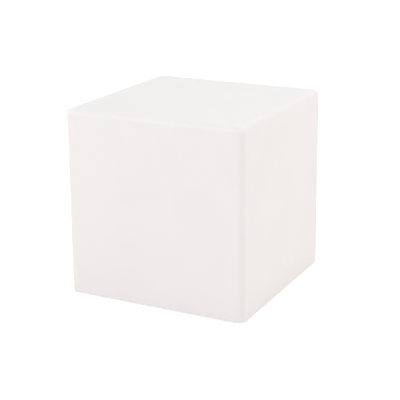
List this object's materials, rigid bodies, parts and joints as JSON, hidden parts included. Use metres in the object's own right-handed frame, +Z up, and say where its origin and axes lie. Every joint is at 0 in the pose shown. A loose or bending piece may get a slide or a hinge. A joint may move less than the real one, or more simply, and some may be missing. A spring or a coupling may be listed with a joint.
{
  "type": "led cube light",
  "caption": "Cordless glowing cube: hollow translucent cube with rounded edges, lit from below by a sealed light module in its ribbed underside, with push button and covered charging port.",
  "frame": {"origin": "on the floor, under the middle of the cube", "axes": "+Z up, -Y towards the front face; the controls under the cube lie towards -Y"},
  "size_m": [0.4, 0.4, 0.394],
  "materials": {
    "shell_polyethylene": "translucent white, satin, fine moulding texture",
    "housing_abs": "fine spark-eroded texture",
    "grey_silicone": "matt",
    "foot_rubber": "matt",
    "button_rubber": "satin",
    "stainless": "bright, lightly brushed",
    "zinc_plated_steel": "zinc plated",
    "brass": "turned",
    "nickel_strip": "nickel plated",
    "clear_polycarbonate": "clear, polished",
    "black_plastic": "satin",
    "white_nylon": "satin",
    "green_board": "solder mask",
    "white_board": "white solder mask",
    "led_white": "glossy frame, yellowish lens",
    "copper_winding": "lacquered copper",
    "capacitor_can": "satin can",
    "cell_steel": "nickel-plated can",
    "blue_film": "shrunk film",
    "wire_red": "satin",
    "wire_black": "satin",
    "wire_ribbon": "satin"
  },
  "bodies": {
    "shell": {"cube_shell": "shell_polyethylene", "threaded_inserts": "brass", "rubber_feet": "foot_rubber", "module_gasket": "grey_silicone", "module_housing": "housing_abs", "module_screws": "stainless", "button_diaphragm": "grey_silicone", "button_retainer": "white_nylon", "tact_switch": "black_plastic", "charging_jack": "black_plastic", "jack_contact": "nickel_strip", "port_seal": "grey_silicone", "plug_anchor": "grey_silicone", "indicator_light_pipe": "clear_polycarbonate", "indicator_led": "led_white", "control_board": "green_board", "control_board_screws": "zinc_plated_steel", "microcontroller": "black_plastic", "driver_chips": "black_plastic", "boost_coil": "copper_winding", "capacitors": "capacitor_can", "led_headers": "white_nylon", "led_plugs": "white_nylon", "led_lead": "wire_ribbon", "battery_header": "white_nylon", "battery_plug": "white_nylon", "battery_lead_red": "wire_red", "battery_lead_black": "wire_black", "battery_cells": "cell_steel", "battery_sleeve": "blue_film", "battery_tabs": "nickel_strip", "protection_board": "green_board", "protection_chips": "black_plastic", "battery_clamp": "white_nylon", "clamp_screws": "zinc_plated_steel", "led_board": "white_board", "led_board_screws": "zinc_plated_steel", "led_chips": "led_white", "remote_receiver": "black_plastic", "lens_dome": "clear_polycarbonate", "lens_oring": "grey_silicone", "lens_screws": "stainless"},
    "power_button": {"power_button": "button_rubber", "switch_plunger": "black_plastic"},
    "port_plug": {"port_plug": "grey_silicone"}
  },
  "joints": [
    {"name": "power_button_slide", "type": "slide", "parent": "shell", "child": "power_button", "axis": [0, 0, 1], "range_m": [0, 0.0005], "stiffness_N_per_m": 600, "springref_m": -0.002, "deforming": ["button_diaphragm"]},
    {"name": "port_plug_hinge", "type": "hinge", "parent": "shell", "child": "port_plug", "pos_m": [0.035, -0.024, 0.0172], "axis": [0, -1, 0], "range_deg": [0, 120], "stiffness_Nm_per_rad": 0.002}
  ]
}
